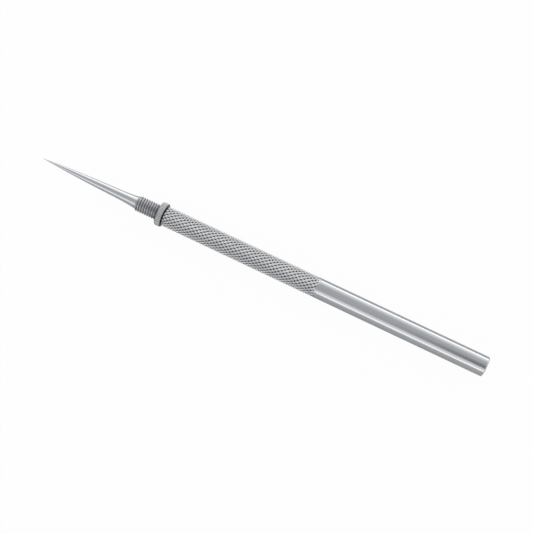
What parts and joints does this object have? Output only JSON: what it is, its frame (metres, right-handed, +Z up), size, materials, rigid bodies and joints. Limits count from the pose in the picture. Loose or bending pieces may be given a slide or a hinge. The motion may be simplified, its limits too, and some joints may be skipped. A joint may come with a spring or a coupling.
{
  "type": "sewing stiletto",
  "caption": "Slim steel sewing stiletto: a sharp tapered point on a threaded stud, a thin lock nut and a knurled round handle.",
  "frame": {"origin": "centre of the flat butt face of the handle", "axes": "+X along the tool's axis towards the sharp point; +Z up as the tool lies on a table, +Y across it"},
  "size_m": [0.15, 0.0076, 0.0076],
  "materials": {
    "handle_steel": "polished stainless steel, smooth at the rear and diamond-knurled at the grip",
    "nut_steel": "satin stainless steel with a finely fluted rim",
    "blade_steel": "finely turned and polished stainless steel, duller in the thread"
  },
  "bodies": {
    "handle": {"handle": "handle_steel"},
    "blade": {"blade": "blade_steel"},
    "lock_nut": {"lock_nut": "nut_steel"}
  },
  "joints": [
    {"name": "blade_draw", "type": "slide", "parent": "handle", "child": "blade", "axis": [1, 0, 0], "range_m": [0, 0.012]},
    {"name": "nut_travel", "type": "slide", "parent": "blade", "child": "lock_nut", "axis": [1, 0, 0], "range_m": [0, 0.0064]}
  ]
}
